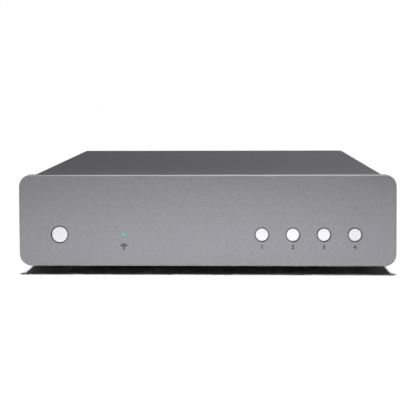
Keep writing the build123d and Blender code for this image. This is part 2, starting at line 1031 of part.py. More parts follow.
def mains_inlet_pins():
    root = inlet_back() - inlet_depth - pin_root
    total = pin_length + pin_root
    one = turned([
        (0, 0),
        (pin_radius, 0),
        (pin_radius, total - pin_tip_chamfer),
        (pin_radius - pin_tip_chamfer, total),
        (0, total),
    ])
    places = [inlet_place + side * pin_pitch / 2 for side in (-1, 1)]
    return group([placed(one, (x, root, inlet_middle()), toward_back) for x in places])


# Phono jacks


def phono_jack_block():
    left = phono_places[0] - phono_block_margin
    right = phono_places[-1] + phono_block_margin
    block = box_between(
        left, right, rear_inside - phono_block_length, rear_inside,
        board_top, board_top + phono_block_height,
    )
    for x in phono_places:
        start = (x, rear_inside + cut_overrun, phono_height)
        root = phono_root + phono_fit + cut_overrun
        block -= rod(start, toward_front, phono_sleeve_radius + phono_fit, root)
    for x, y, z in phono_screw_places():
        blind = case_screw_length - rear_panel_thickness + screw_tip_room
        block -= screw_hole((x, rear_inside, z), toward_front, blind)
    return block


def phono_sleeve(x):
    # The outer contact, with depths from the back of the rear panel
    inner = phono_sleeve_radius - phono_sleeve_wall
    root = -rear_panel_thickness - phono_root
    tip = phono_collar_thickness + phono_sleeve_reach
    body = turned([
        (inner, root),
        (phono_sleeve_radius, root),
        (phono_sleeve_radius, 0),
        (phono_collar_radius, 0),
        (phono_collar_radius, phono_collar_thickness),
        (phono_sleeve_radius, phono_collar_thickness),
        (phono_sleeve_radius, tip),
        (inner, tip),
    ])
    return placed(body, (x, rear_outside, phono_height), toward_back)


def phono_insert(x):
    # The insulator inside the sleeve, with the bore for the plug's pin
    outer = phono_sleeve_radius - phono_sleeve_wall - phono_fit
    root = -rear_panel_thickness - phono_root
    face = phono_collar_thickness + phono_sleeve_reach - phono_insert_sink
    body = turned([
        (0, root),
        (outer, root),
        (outer, face),
        (phono_bore_radius, face),
        (phono_bore_radius, face - phono_bore_depth),
        (0, face - phono_bore_depth),
    ])
    return placed(body, (x, rear_outside, phono_height), toward_back)


# Optical jack


def optical_cavity_bottom():
    return board_top + optical_floor


def shutter_axis():
    # Depth and height of the pin that the shutter swings on
    lip_inside = rear_outside + optical_proud - optical_lip_thickness
    depth = lip_inside - shutter_lip_gap - shutter_thickness / 2
    ceiling = optical_cavity_bottom() + optical_cavity_height
    return depth, ceiling - shutter_top_gap - shutter_thickness / 2


def optical_port():
    back = rear_outside + optical_proud
    body = upright_plate(
        optical_place, board_top + optical_height / 2, optical_width, optical_height,
        optical_corner_radius, back - optical_length, back,
    )
    lip_inside = back - optical_lip_thickness
    bottom = optical_cavity_bottom()
    body -= box_between(
        optical_place - optical_cavity_width / 2, optical_place + optical_cavity_width / 2,
        lip_inside - optical_cavity_depth, lip_inside, bottom, bottom + optical_cavity_height,
    )
    body -= upright_plate(
        optical_place, bottom + optical_cavity_height / 2, optical_mouth_width,
        optical_mouth_height, optical_mouth_round, lip_inside - shutter_lip_gap, back + cut_overrun,
    )
    depth, height = shutter_axis()
    hole = shutter_pin_radius + shutter_fit
    reach = optical_cavity_width / 2 + shutter_pin_length
    body -= rod((optical_place - reach, depth, height), (1, 0, 0), hole, 2 * reach)
    return body


def optical_shutter():
    depth, height = shutter_axis()
    half = shutter_thickness / 2
    width = optical_cavity_width - 2 * shutter_side_gap
    left = optical_place - width / 2
    foot_level = optical_cavity_bottom() + shutter_foot_gap
    flap = box_between(
        left, left + width, depth - half, depth + half, foot_level, height
    )
    flap += rod((left, depth, height), (1, 0, 0), half, width)
    reach = optical_cavity_width / 2 + shutter_pin_length - shutter_fit
    flap += rod((optical_place - reach, depth, height), (1, 0, 0), shutter_pin_radius, 2 * reach)
    return flap


# Serial bus port


def usb_port_shell():
    back = rear_outside + usb_proud
    middle = board_top + usb_height / 2
    body = upright_plate(
        usb_place, middle, usb_width, usb_height, usb_corner_radius, back - usb_length, back
    )
    body -= upright_plate(
        usb_place, middle, usb_width - 2 * usb_wall, usb_height - 2 * usb_wall,
        usb_corner_radius - usb_wall, back - usb_length - cut_overrun, back + cut_overrun,
    )
    return body


def usb_port_tongue():
    back = rear_outside + usb_proud
    front = back - usb_length
    middle = board_top + usb_height / 2
    trim = 2 * (usb_wall + usb_fit)
    root = upright_plate(
        usb_place, middle, usb_width - trim, usb_height - trim,
        usb_corner_radius - usb_wall - usb_fit, front, front + usb_root,
    )
    tongue = box_between(
        usb_place - usb_tongue_width / 2, usb_place + usb_tongue_width / 2,
        front, back - usb_tongue_setback,
        middle + usb_tongue_rise - usb_tongue_thickness / 2,
        middle + usb_tongue_rise + usb_tongue_thickness / 2,
    )
    return root + tongue


# Wired network jack


def ethernet_ceiling():
    return board_top + ethernet_floor + ethernet_latch_height + ethernet_mouth_height


def ethernet_jack():
    back = rear_outside + ethernet_proud
    body = upright_plate(
        ethernet_place, board_top + ethernet_height / 2, ethernet_width, ethernet_height,
        ethernet_corner_radius, back - ethernet_length, back,
    )
    latch_bottom = board_top + ethernet_floor
    mouth_bottom = latch_bottom + ethernet_latch_height
    body -= box_between(
        ethernet_place - ethernet_mouth_width / 2, ethernet_place + ethernet_mouth_width / 2,
        back - ethernet_depth, back + cut_overrun, mouth_bottom, ethernet_ceiling(),
    )
    body -= box_between(
        ethernet_place - ethernet_latch_width / 2, ethernet_place + ethernet_latch_width / 2,
        back - ethernet_depth, back + cut_overrun, latch_bottom, mouth_bottom + cut_overrun,
    )
    for wire in ethernet_wires(contact_radius + contact_fit):
        body -= wire
    return body


def ethernet_wires(radius):
    # Sloping contact wires, rooted in the ceiling of the mouth
    mouth = rear_outside + ethernet_proud
    root = (mouth - contact_setback, ethernet_ceiling() + contact_root)
    tip = (mouth - contact_setback - contact_run, ethernet_ceiling() - contact_drop)
    wires = []
    for number in range(contact_count):
        x = ethernet_place + contact_pitch * (number - (contact_count - 1) / 2)
        line = Line((x, *root), (x, *tip))
        wires.append(sweep(Plane(origin=line @ 0, z_dir=line % 0) * Circle(radius), path=line))
    return wires


def ethernet_contacts():
    return group(ethernet_wires(contact_radius))


# Antennas


def antenna_jack(x):
    # The threaded stud through the panel and its spigot, with depths from the back of the panel
    thread_end = -rear_panel_thickness - antenna_thread_length
    spigot_end = antenna_collar_thickness + spigot_length
    bead_start = spigot_end - spigot_bead_length
    bead_middle = spigot_end - spigot_bead_length / 2
    body = turned([
        (0, thread_end),
        (antenna_thread_radius, thread_end),
        (antenna_thread_radius, 0),
        (antenna_collar_radius, 0),
        (antenna_collar_radius, antenna_collar_thickness),
        (spigot_radius, antenna_collar_thickness),
        (spigot_radius, bead_start),
        (spigot_radius + spigot_bead, bead_middle),
        (spigot_radius, spigot_end),
        (0, spigot_end),
    ])
    return placed(body, (x, rear_outside, antenna_height), toward_back)


def antenna_jacks():
    return group([antenna_jack(-antenna_place), antenna_jack(antenna_place)])


def antenna_nuts():
    outline = RegularPolygon(radius=antenna_nut_width / 2, side_count=6, major_radius=False)
    bore = Circle(antenna_thread_radius + hole_clearance)
    one = extrude(outline - bore, amount=antenna_nut_thickness)
    places = [(side * antenna_place, rear_inside, antenna_height) for side in (-1, 1)]
    return group([placed(one, place, toward_front) for place in places])


def knuckle_right():
    # The swivel turns on the spigot and carries two ears for the hinge
    start = antenna_collar_thickness + swivel_gap
    end = start + knuckle_length
    spigot_end = antenna_collar_thickness + spigot_length
    bead_start = spigot_end - spigot_bead_length - swivel_gap
    bore = spigot_radius + spigot_fit
    groove = spigot_radius + spigot_bead + spigot_fit
    body = turned([
        (bore, start),
        (knuckle_radius, start),
        (knuckle_radius, end - knuckle_edge_chamfer),
        (knuckle_radius - knuckle_edge_chamfer, end),
        (0, end),
        (0, spigot_end + knuckle_end_gap),
        (groove, spigot_end + knuckle_end_gap),
        (groove, bead_start),
        (bore, bead_start),
    ])
    body = placed(body, (antenna_place, rear_outside, antenna_height), toward_back)
    ear_start = rear_outside + end - knuckle_edge_chamfer
    ear_length = hinge_depth - ear_start
    outline = Pos(antenna_place, ear_start + ear_length / 2) * Rectangle(2 * ear_radius, ear_length)
    outline += Pos(antenna_place, hinge_depth) * Circle(ear_radius)
    outline -= Pos(antenna_place, hinge_depth) * Circle(hinge_pin_radius + hinge_fit)
    ear = extrude(outline, amount=ear_thickness)
    body += Pos(0, 0, antenna_height + hinge_slot / 2) * ear
    body += Pos(0, 0, antenna_height - hinge_slot / 2 - ear_thickness) * ear
    return body


def whip_right():
    # The whip lies folded toward the middle, with its tongue and pivot pin in the knuckle
    centre = (antenna_place, hinge_depth, antenna_height)
    taper_end = whip_reach - whip_tip_round
    body = turned([
        (0, whip_shoulder),
        (whip_root_radius, whip_shoulder),
        (whip_root_radius, whip_shoulder + whip_neck_length),
        (whip_tip_radius, taper_end),
        (whip_tip_radius - whip_tip_round, whip_reach),
        (0, whip_reach),
    ])
    body = placed(body, centre, (-1, 0, 0))
    tongue_half = hinge_slot / 2 - hinge_side_gap
    tongue_radius = ear_radius - hinge_tip_gap
    tongue_length = whip_shoulder + whip_neck_length
    outline = Circle(tongue_radius)
    outline += Pos(-tongue_length / 2, 0) * Rectangle(tongue_length, 2 * whip_tip_radius)
    tongue = extrude(outline, amount=2 * tongue_half)
    body += Pos(antenna_place, hinge_depth, antenna_height - tongue_half) * tongue
    pin_half = hinge_slot / 2 + ear_thickness
    pin_start = (antenna_place, hinge_depth, antenna_height - pin_half)
    body += rod(pin_start, upward, hinge_pin_radius, 2 * pin_half)
    return body


# Leads


def swept_tube(points, bends, radius):
    path = FilletPolyline(*points, radius=bends)
    return sweep(Plane(origin=path @ 0, z_dir=path % 0) * Circle(radius), path=path)


def antenna_lead(side):
    x, y = module_middle()
    x = x + side * (module_width / 2 - lead_edge_gap)
    y = y - module_length / 2 + lead_edge_gap
    base = board_top + module_board_thickness
    plug = rod((x, y, base), upward, lead_plug_radius, lead_plug_height)
    stud = rear_inside - antenna_thread_length
    tube = swept_tube([
        (x, y, base + lead_plug_height / 2),
        (x, y, antenna_height),
        (side * antenna_place, y, antenna_height),
        (side * antenna_place, stud, antenna_height),
    ], lead_bend, lead_radius)
    return plug + tube


def antenna_leads():
    return group([antenna_lead(-1), antenna_lead(1)])


def front_ribbon():
    left = ribbon_place - ribbon_width / 2
    plug_left = left - ribbon_plug_margin
    plug_right = left + ribbon_width + ribbon_plug_margin
    level = board_top + ribbon_rise
    rear_plug_front = boards_front + ribbon_board_gap
    drop = rear_plug_front + ribbon_plug_length / 2
    plug_top = board_top + ribbon_plug_height
    front_plug = box_between(
        plug_left, plug_right, front_board_back, front_board_back + ribbon_plug_length,
        level - ribbon_plug_height / 2, level + ribbon_plug_height / 2,
    )
    rear_plug = box_between(
        plug_left, plug_right, rear_plug_front, rear_plug_front + ribbon_plug_length,
        board_top, plug_top,
    )
    route = [(front_board_back + ribbon_plug_length / 2, level), (drop, level)]
    route.append((drop, board_top + ribbon_plug_height / 2))
    side_view = Plane(origin=(left, 0, 0), x_dir=(0, 1, 0), z_dir=(1, 0, 0))
    strip = side_view * bent_strip(route, ribbon_bend, ribbon_thickness)
    return extrude(strip, amount=ribbon_width) + front_plug + rear_plug


def power_harness():
    y = boards_front + harness_share * boards_length
    start = supply_right - harness_edge_gap
    end = main_left + harness_edge_gap
    plug_top = board_top + harness_plug_height
    plug_half = harness_wire_pitch * (harness_wire_count - 1) / 2 + harness_plug_margin
    pieces = []
    for x in (start, end):
        pieces.append(box_between(
            x - harness_plug_width / 2, x + harness_plug_width / 2,
            y - plug_half, y + plug_half, board_top, plug_top,
        ))
    inside_plug = plug_top - harness_plug_height / 2
    for number in range(harness_wire_count):
        row = y + harness_wire_pitch * (number - (harness_wire_count - 1) / 2)
        pieces.append(swept_tube([
            (start, row, inside_plug),
            (start, row, plug_top + harness_rise),
            (end, row, plug_top + harness_rise),
            (end, row, inside_plug),
        ], harness_bend, harness_wire_radius))
    return joined(pieces)


# All pieces by name


def all_pieces():
    pieces = {
        "face_plate": face_plate(),
        "top_cover": top_cover(),
        "base_pan": base_pan(),
        "rear_panel": rear_panel(),
        "foot_screws": foot_screws(),
        "case_screws": case_screws(),
        "board_screws": board_screws(),
        "board_standoffs": board_standoffs(),
        "power_button": button(power_button_place, power_button_diameter),
        "power_switch_actuator": switch_actuator(power_button_place),
        "button_guides": button_guides(),
        "front_board": front_board(),
        "tact_switches": tact_switches(),
        "light_pipe": light_pipe(),
        "status_lamp": status_lamp(),
        "front_ribbon": front_ribbon(),
        "main_board": flat_board(main_left, main_right),
        "main_board_chips": main_board_chips(),
        "electrolytic_capacitors": electrolytic_capacitors(),
        "network_module_board": network_module_board(),
        "network_module_shield": network_module_shield(),
        "power_supply_board": flat_board(supply_left, supply_right),
        "transformer_core": transformer_core(),
        "transformer_winding": transformer_winding(),
        "heat_sink": heat_sink(),
        "mains_inlet": mains_inlet(),
        "mains_inlet_pins": mains_inlet_pins(),
        "power_harness": power_harness(),
        "phono_jack_block": phono_jack_block(),
        "optical_port": optical_port(),
        "optical_shutter": optical_shutter(),
        "usb_port_shell": usb_port_shell(),
        "usb_port_tongue": usb_port_tongue(),
        "ethernet_jack": ethernet_jack(),
        "ethernet_contacts": ethernet_contacts(),
        "antenna_jacks": antenna_jacks(),
        "antenna_nuts": antenna_nuts(),
        "antenna_leads": antenna_leads(),
        "antenna_knuckle_right": knuckle_right(),
        "antenna_knuckle_left": across(knuckle_right()),
        "antenna_whip_right": whip_right(),
        "antenna_whip_left": across(whip_right()),
    }
    foot_names = ("front_left", "rear_left", "front_right", "rear_right")
    for name, (x, y) in zip(foot_names, foot_places()):
        pieces["foot_" + name] = foot(x, y)
    for number, x in enumerate(preset_places, start=1):
        pieces[f"preset_button_{number}"] = button(x, preset_button_diameter)
        pieces[f"preset_switch_actuator_{number}"] = switch_actuator(x)
    for name, x in zip(("coaxial", "left", "right"), phono_places):
        pieces["phono_sleeve_" + name] = phono_sleeve(x)
        pieces["phono_insert_" + name] = phono_insert(x)
    return pieces


os.makedirs("parts", exist_ok=True)
for name, piece in all_pieces().items():
    export_step(piece, f"parts/{name}.step")
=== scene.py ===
import math

import bmesh
import bpy
from mathutils import Matrix, Vector


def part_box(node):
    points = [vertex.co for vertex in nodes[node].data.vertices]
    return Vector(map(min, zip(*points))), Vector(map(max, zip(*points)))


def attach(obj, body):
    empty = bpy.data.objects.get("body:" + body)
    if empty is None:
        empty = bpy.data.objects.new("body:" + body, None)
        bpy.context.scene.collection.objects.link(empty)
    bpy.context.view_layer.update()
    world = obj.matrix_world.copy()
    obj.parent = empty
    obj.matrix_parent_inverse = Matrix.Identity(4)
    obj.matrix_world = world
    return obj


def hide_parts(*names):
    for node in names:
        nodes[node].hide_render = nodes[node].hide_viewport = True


# Network music streamer: grey aluminium face, dark steel cover, press buttons, jacks and
# folding antennas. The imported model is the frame; this script adds finishes and fine detail.

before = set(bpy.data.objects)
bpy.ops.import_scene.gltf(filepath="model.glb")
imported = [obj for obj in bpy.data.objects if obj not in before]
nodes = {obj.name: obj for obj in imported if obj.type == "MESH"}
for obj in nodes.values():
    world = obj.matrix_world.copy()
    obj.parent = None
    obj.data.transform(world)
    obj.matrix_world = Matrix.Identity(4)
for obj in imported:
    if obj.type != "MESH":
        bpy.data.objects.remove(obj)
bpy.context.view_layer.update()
bpy.ops.object.select_all(action="DESELECT")
mm = 0.001


# Small helpers


def middleOf(node):
    low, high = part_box(node)
    return (low + high) / 2


def linearColour(code):
    # sRGB hex to the linear values that shaders take
    parts = [int(code[i:i + 2], 16) / 255 for i in (1, 3, 5)]
    return (*[p / 12.92 if p <= 0.04045 else ((p + 0.055) / 1.055) ** 2.4 for p in parts], 1.0)


def addNode(tree, kind, settings=None, links=None):
    # Adds one node; a setting's name is an input's name or number, or else a property
    node = tree.nodes.new(kind)
    for name, value in (settings or {}).items():
        if isinstance(name, int) or name in node.inputs:
            node.inputs[name].default_value = value
        else:
            setattr(node, name, value)
    for name, source in (links or {}).items():
        tree.links.new(source, node.inputs[name])
    return node


def newMaterial(name, settings):
    # A Principled surface with object coordinates ready for patterns
    material = bpy.data.materials.new(name)
    material.use_nodes = True
    tree = material.node_tree
    tree.nodes.clear()
    surface = addNode(tree, "ShaderNodeBsdfPrincipled", settings)
    addNode(tree, "ShaderNodeOutputMaterial", links={"Surface": surface.outputs[0]})
    place = addNode(tree, "ShaderNodeTexCoord").outputs["Object"]
    return material, tree, surface, place


def dress(material, *names):
    # Gives CAD nodes or pieces one material all over
    for name in names:
        item = nodes.get(name) or bpy.data.objects[name]
        item.data.materials.clear()
        item.data.materials.append(material)


# Finishes

patternBand = {"From Min": 0.3, "From Max": 0.7}  # most of a noise's values lie between these


def workSurface(tree, surface, pattern, dark, light, bumpMm):
    # Lets one pattern shade the surface between two colours and give it height
    blend = addNode(tree, "ShaderNodeMapRange", patternBand, {"Value": pattern}).outputs[0]
    tones = {"data_type": "RGBA", 6: linearColour(dark), 7: linearColour(light)}
    colour = addNode(tree, "ShaderNodeMix", tones, {0: blend}).outputs[2]
    depth = {"Strength": 1.0, "Distance": bumpMm * mm}
    bump = addNode(tree, "ShaderNodeBump", depth, {"Height": pattern}).outputs[0]
    tree.links.new(colour, surface.inputs["Base Color"])
    tree.links.new(bump, surface.inputs["Normal"])
    return colour


def speckledMaterial(name, dark, light, settings, grainMm, bumpMm, roughLow, roughHigh):
    # Most moulded, sprayed and blasted finishes: speckle in colour, gloss and height
    material, tree, surface, place = newMaterial(name, settings)
    scale = {"Scale": 1 / (grainMm * mm)}
    grain = addNode(tree, "ShaderNodeTexNoise", scale, {"Vector": place}).outputs["Fac"]
    workSurface(tree, surface, grain, dark, light, bumpMm)
    limits = {**patternBand, "To Min": roughLow, "To Max": roughHigh}
    gloss = addNode(tree, "ShaderNodeMapRange", limits, {"Value": grain}).outputs[0]
    tree.links.new(gloss, surface.inputs["Roughness"])
    return material


finishLook = {
    # Glass-bead blasted aluminium, anodised grey: a soft sparkle, drawn coarse enough to show
    "blastedAnodisedAluminium": dict(
        dark="#7d7c81", light="#8d8c91", settings={"Metallic": 0.5},
        grainMm=0.5, bumpMm=0.012, roughLow=0.5, roughHigh=0.6),
    # Fine-texture powder coat on steel: an even dark grey with a dry, slightly pebbled gloss
    "texturedPowderCoat": dict(
        dark="#545357", light="#5f5e63", settings={"Specular IOR Level": 0.25},
        grainMm=0.6, bumpMm=0.02, roughLow=0.7, roughHigh=0.82),
    # The same coat in black on the base pan and the rear panel, a little glossier
    "blackPowderCoat": dict(
        dark="#26262a", light="#323236", settings={},
        grainMm=0.6, bumpMm=0.02, roughLow=0.5, roughHigh=0.62),
    # Zinc-plated steel of the standoffs and board screws: cool, faintly mottled
    "zincPlatedSteel": dict(
        dark="#8f9194", light="#a9abad", settings={"Metallic": 1.0},
        grainMm=6.0, bumpMm=0.004, roughLow=0.3, roughHigh=0.42),
    # Black zinc plate on the screws outside: dark, oily satin
    "blackZincPlate": dict(
        dark="#1d1d20", light="#2b2b2f", settings={"Metallic": 0.8},
        grainMm=0.4, bumpMm=0.003, roughLow=0.3, roughHigh=0.42),
    # ABS moulded in spark-eroded tools, in black: an even fine grain
    "sparkErodedAbs": dict(
        dark="#151517", light="#1f1f22", settings={},
        grainMm=0.35, bumpMm=0.008, roughLow=0.42, roughHigh=0.55),
    # Elastomer moulded over the antennas: a soft satin black
    "satinElastomer": dict(
        dark="#1a1a1c", light="#242427", settings={},
        grainMm=0.5, bumpMm=0.006, roughLow=0.5, roughHigh=0.6),
    # Moulded nitrile rubber feet: dull, with a dusty bloom
    "mouldedRubber": dict(
        dark="#1b1b1c", light="#2a2a2b", settings={"Specular IOR Level": 0.35},
        grainMm=1.2, bumpMm=0.02, roughLow=0.68, roughHigh=0.82),
    # Moulded polymer in white, for the bus tongue, the left jack and the switch tips: faintly waxy
    "whitePolymer": dict(
        dark="#dcdcd8", light="#ecece8", settings={},
        grainMm=0.5, bumpMm=0.004, roughLow=0.38, roughHigh=0.46),
    # The same in red and in orange, clear even colours that tell the jacks apart
    "redPolymer": dict(
        dark="#a3161c", light="#b92127", settings={},
        grainMm=0.5, bumpMm=0.004, roughLow=0.34, roughHigh=0.42),
    "orangePolymer": dict(
        dark="#d9701a", light="#ea8327", settings={},
        grainMm=0.5, bumpMm=0.004, roughLow=0.34, roughHigh=0.42),
    # Bright nickel plate: clear reflections, a little pitting
    "nickelPlate": dict(
        dark="#c6c3bc", light="#d6d3cc", settings={"Metallic": 1.0},
        grainMm=1.5, bumpMm=0.002, roughLow=0.16, roughHigh=0.26),
    # Flash gold on brass: warm and smooth, with clear reflections
    "goldPlate": dict(
        dark="#d9ac5a", light="#e0b564", settings={"Metallic": 1.0},
        grainMm=2.5, bumpMm=0.001, roughLow=0.2, roughHigh=0.25),
    # Tinned steel sheet of the radio shield: pale and softly mottled
    "tinnedSheet": dict(
        dark="#a5a6a4", light="#bcbdbb", settings={"Metallic": 1.0},
        grainMm=3.0, bumpMm=0.004, roughLow=0.28, roughHigh=0.4),
    # Solder mask over glass laminate: a deep green under a clear gloss
    "solderMask": dict(
        dark="#11401f", light="#1d5a2e", settings={"Coat Weight": 0.4, "Coat Roughness": 0.15},
        grainMm=2.5, bumpMm=0.006, roughLow=0.35, roughHigh=0.45),
    # Epoxy moulded chip packages: a dry charcoal
    "mouldedEpoxy": dict(
        dark="#1c1c1e", light="#27272a", settings={},
        grainMm=0.4, bumpMm=0.008, roughLow=0.5, roughHigh=0.6),
    # Shrink sleeve on the capacitors: a smooth, glossy navy
    "shrinkSleeve": dict(
        dark="#171b33", light="#1f2442", settings={},
        grainMm=4.0, bumpMm=0.01, roughLow=0.22, roughHigh=0.32),
    # Sintered ferrite core: dull charcoal with a slight metallic cast
    "sinteredFerrite": dict(
        dark="#2b2b2e", light="#3a3a3e", settings={"Metallic": 0.3},
        grainMm=0.6, bumpMm=0.02, roughLow=0.5, roughHigh=0.65),
    # Polyester tape wound round the winding: a yellow film with a soft gloss
    "polyesterTape": dict(
        dark="#c79a1c", light="#d9ae2e", settings={},
        grainMm=5.0, bumpMm=0.02, roughLow=0.25, roughHigh=0.35),
    # Extruded aluminium heat sink: satin silver
    "extrudedAluminium": dict(
        dark="#a9aaad", light="#bcbdc0", settings={"Metallic": 1.0},
        grainMm=2.0, bumpMm=0.01, roughLow=0.35, roughHigh=0.45),
    # Extruded PVC jackets of the leads: smooth, with a soft gloss
    "greyPvc": dict(
        dark="#8f8f90", light="#9c9c9d", settings={},
        grainMm=1.0, bumpMm=0.005, roughLow=0.4, roughHigh=0.5),
    "redPvc": dict(
        dark="#8f1a18", light="#a3211e", settings={},
        grainMm=1.0, bumpMm=0.005, roughLow=0.4, roughHigh=0.5),
    "blackPvc": dict(
        dark="#1a1a1b", light="#242425", settings={},
        grainMm=1.0, bumpMm=0.005, roughLow=0.4, roughHigh=0.5),
}

finishes = {name: speckledMaterial(name, **look) for name, look in finishLook.items()}
print("finishes made:", len(finishes))

coats = {
    "blastedAnodisedAluminium": ["face_plate"],
    "texturedPowderCoat": ["top_cover"],
    "blackPowderCoat": ["base_pan", "rear_panel"],
    "zincPlatedSteel": ["board_screws", "board_standoffs"],
    "blackZincPlate": ["case_screws", "foot_screws"],
    "sparkErodedAbs": [
        "button_guides", "tact_switches", "mains_inlet", "phono_jack_block", "optical_port",
        "optical_shutter", "ethernet_jack"],
    "satinElastomer": [
        "antenna_knuckle_left", "antenna_knuckle_right", "antenna_whip_left", "antenna_whip_right"],
    "mouldedRubber": ["foot_front_left", "foot_front_right", "foot_rear_left", "foot_rear_right"],
    "whitePolymer": [
        "usb_port_tongue", "phono_insert_left", "power_switch_actuator",
        *[f"preset_switch_actuator_{number}" for number in range(1, 5)]],
    "redPolymer": ["phono_insert_right"],
    "orangePolymer": ["phono_insert_coaxial"],
    "nickelPlate": ["usb_port_shell", "mains_inlet_pins", "antenna_nuts"],
    "goldPlate": [
        "phono_sleeve_left", "phono_sleeve_right", "phono_sleeve_coaxial", "antenna_jacks",
        "ethernet_contacts"],
    "tinnedSheet": ["network_module_shield"],
    "solderMask": ["front_board", "main_board", "power_supply_board", "network_module_board"],
    "mouldedEpoxy": ["main_board_chips"],
    "shrinkSleeve": ["electrolytic_capacitors"],
    "sinteredFerrite": ["transformer_core"],
    "polyesterTape": ["transformer_winding"],
    "extrudedAluminium": ["heat_sink"],
    "greyPvc": ["front_ribbon"],
    "redPvc": ["power_harness"],
    "blackPvc": ["antenna_leads"],
}
for finish, names in coats.items():
    dress(finishes[finish], *names)


# Face plate: its chamfer was cut after the blasting and keeps the face's tone, showing as a brighter
# line where it catches the light. Its lower run is a painted reflection, its outer sides and bores'
# walls painted shade

# underColour is a painted reflection of the pale table; sideColour and boreColour are painted shade
faceLook = dict(
    chamferColour="#86858a", underColour="#bdbcc1", sideColour="#626166", boreColour="#1c1c1e",
    chamferRoughness=0.55, boreRoughness=0.7,
    chamferSlope=0.707, slopeRange=0.2, wallSlope=0.3, marginMm=2.5)


def cutFaceEdges():
    look = faceLook
    low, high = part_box("face_plate")
    middle = (low + high) / 2
    reachX = (high.x - low.x) / 2 - look["marginMm"] * mm
    reachZ = (high.z - low.z) / 2 - look["marginMm"] * mm
    tree = finishes["blastedAnodisedAluminium"].node_tree
    surface = tree.nodes["Principled BSDF"]
    point = addNode(tree, "ShaderNodeTexCoord").outputs
    normal = addNode(tree, "ShaderNodeSeparateXYZ", links={0: point["Normal"]}).outputs
    place = addNode(tree, "ShaderNodeSeparateXYZ", links={0: point["Object"]}).outputs
    zones = {"normalY": normal["Y"], "normalZ": normal["Z"], "placeX": place["X"], "placeZ": place["Z"]}
    # Each row makes one zone from others: the chamfer and its lower run, then all that stands square
    # to the front, and of that the bores' walls, which lie away from the plate's outer edge
    steps = [
        ("facing", "ABSOLUTE", ["normalY"], {}),
        ("chamfer", "COMPARE", ["facing"], {1: look["chamferSlope"], 2: look["slopeRange"]}),
        ("downward", "LESS_THAN", ["normalZ"], {1: 0.0}),
        # the chamfer's lower run, which gets a painted reflection of the table
        ("under", "MULTIPLY", ["chamfer", "downward"], {}),
        # the outer sides, painted darker as painted shade
        ("side", "LESS_THAN", ["facing"], {1: look["wallSlope"]}),
        ("across", "COMPARE", ["placeX"], {1: middle.x, 2: reachX}),
        ("level", "COMPARE", ["placeZ"], {1: middle.z, 2: reachZ}),
        ("inner", "MULTIPLY", ["across", "level"], {}),
        # the bores' walls, painted dark as painted shade inside the gaps
        ("bore", "MULTIPLY", ["inner", "side"], {}),
    ]
    for zone, operation, sources, settings in steps:
        links = {slot: zones[source] for slot, source in enumerate(sources)}
        step = addNode(tree, "ShaderNodeMath", {"operation": operation, **settings}, links)
        zones[zone] = step.outputs[0]
    # The lower run is painted lighter, a painted reflection of the pale table. The sides are painted
    # darker, nearly as dark as the cover, as painted shade, and the bores' walls are painted dark, as
    # painted shade inside the bores
    colour = surface.inputs["Base Color"].links[0].from_socket
    for zone in ("chamfer", "under", "side", "bore"):
        tone = {"data_type": "RGBA", 7: linearColour(look[zone + "Colour"])}
        colour = addNode(tree, "ShaderNodeMix", tone, {0: zones[zone], 6: colour}).outputs[2]
    gloss = surface.inputs["Roughness"].links[0].from_socket
    for zone in ("chamfer", "bore"):
        amount = {3: look[zone + "Roughness"]}
        gloss = addNode(tree, "ShaderNodeMix", amount, {0: zones[zone], 2: gloss}).outputs[0]
    tree.links.new(colour, surface.inputs["Base Color"])
    tree.links.new(gloss, surface.inputs["Roughness"])


cutFaceEdges()
print("face plate finished")


# Buttons: turned and satin anodised in silver, with fine tool rings and a glossier rim round the
# flat cap, painted lighter there as a painted highlight; where the chamfer turns into the gap, a thin
# run is painted dark as painted shade of the gap

buttonLook = dict(
    dark="#cdcdcf", light="#d8d8da", metallic=0.35, roughness=0.42, ringPitch=0.25, ringDepth=0.002,
    # rimColour is a painted highlight; rimRoughness is the rim's real polish
    rimColour="#f4f4f5", rimRoughness=0.2, rimWidth=0.7, rimBlend=0.1,
    # edgeColour is painted shade of the gap round the cap
    edgeColour="#5a5a5d", edgeWidth=0.15, edgeBlend=0.04,
    capRadius={"power_button": 4.6, **{f"preset_button_{number}": 3.7 for number in range(1, 5)}})
waveTurn = 20  # radians that a wave texture turns for each unit of its scale


def turnedSilver(node, radius):
    look = buttonLook
    material, tree, surface, place = newMaterial(
        "turnedSilver_" + node, {"Metallic": look["metallic"]})
    centred = addNode(
        tree, "ShaderNodeMapping", {"Location": tuple(-middleOf(node))}, {"Vector": place}).outputs[0]
    flat = addNode(
        tree, "ShaderNodeVectorMath", {"operation": "MULTIPLY", 1: (1, 0, 1)}, {0: centred}).outputs[0]
    outward = addNode(
        tree, "ShaderNodeVectorMath", {"operation": "LENGTH"}, {0: flat}).outputs["Value"]
    turning = {
        "wave_type": "RINGS", "rings_direction": "Y",
        "Scale": 2 * math.pi / (waveTurn * look["ringPitch"] * mm)}
    rings = addNode(tree, "ShaderNodeTexWave", turning, {"Vector": centred}).outputs["Fac"]
    colour = workSurface(tree, surface, rings, look["dark"], look["light"], look["ringDepth"])
    bands = {}
    # The rim band is a painted highlight, the edge band painted shade of the gap
    for band in ("rim", "edge"):
        start = (radius - look[band + "Width"]) * mm
        limits = {"From Min": start, "From Max": start + look[band + "Blend"] * mm}
        bands[band] = addNode(tree, "ShaderNodeMapRange", limits, {"Value": outward}).outputs[0]
        tone = {"data_type": "RGBA", 7: linearColour(look[band + "Colour"])}
        colour = addNode(tree, "ShaderNodeMix", tone, {0: bands[band], 6: colour}).outputs[2]
    amounts = {2: look["roughness"], 3: look["rimRoughness"]}
    gloss = addNode(tree, "ShaderNodeMix", amounts, {0: bands["rim"]}).outputs[0]
    tree.links.new(colour, surface.inputs["Base Color"])
    tree.links.new(gloss, surface.inputs["Roughness"])
    dress(material, node)


for node, radius in buttonLook["capRadius"].items():
    turnedSilver(node, radius)
print("buttons finished:", len(buttonLook["capRadius"]))


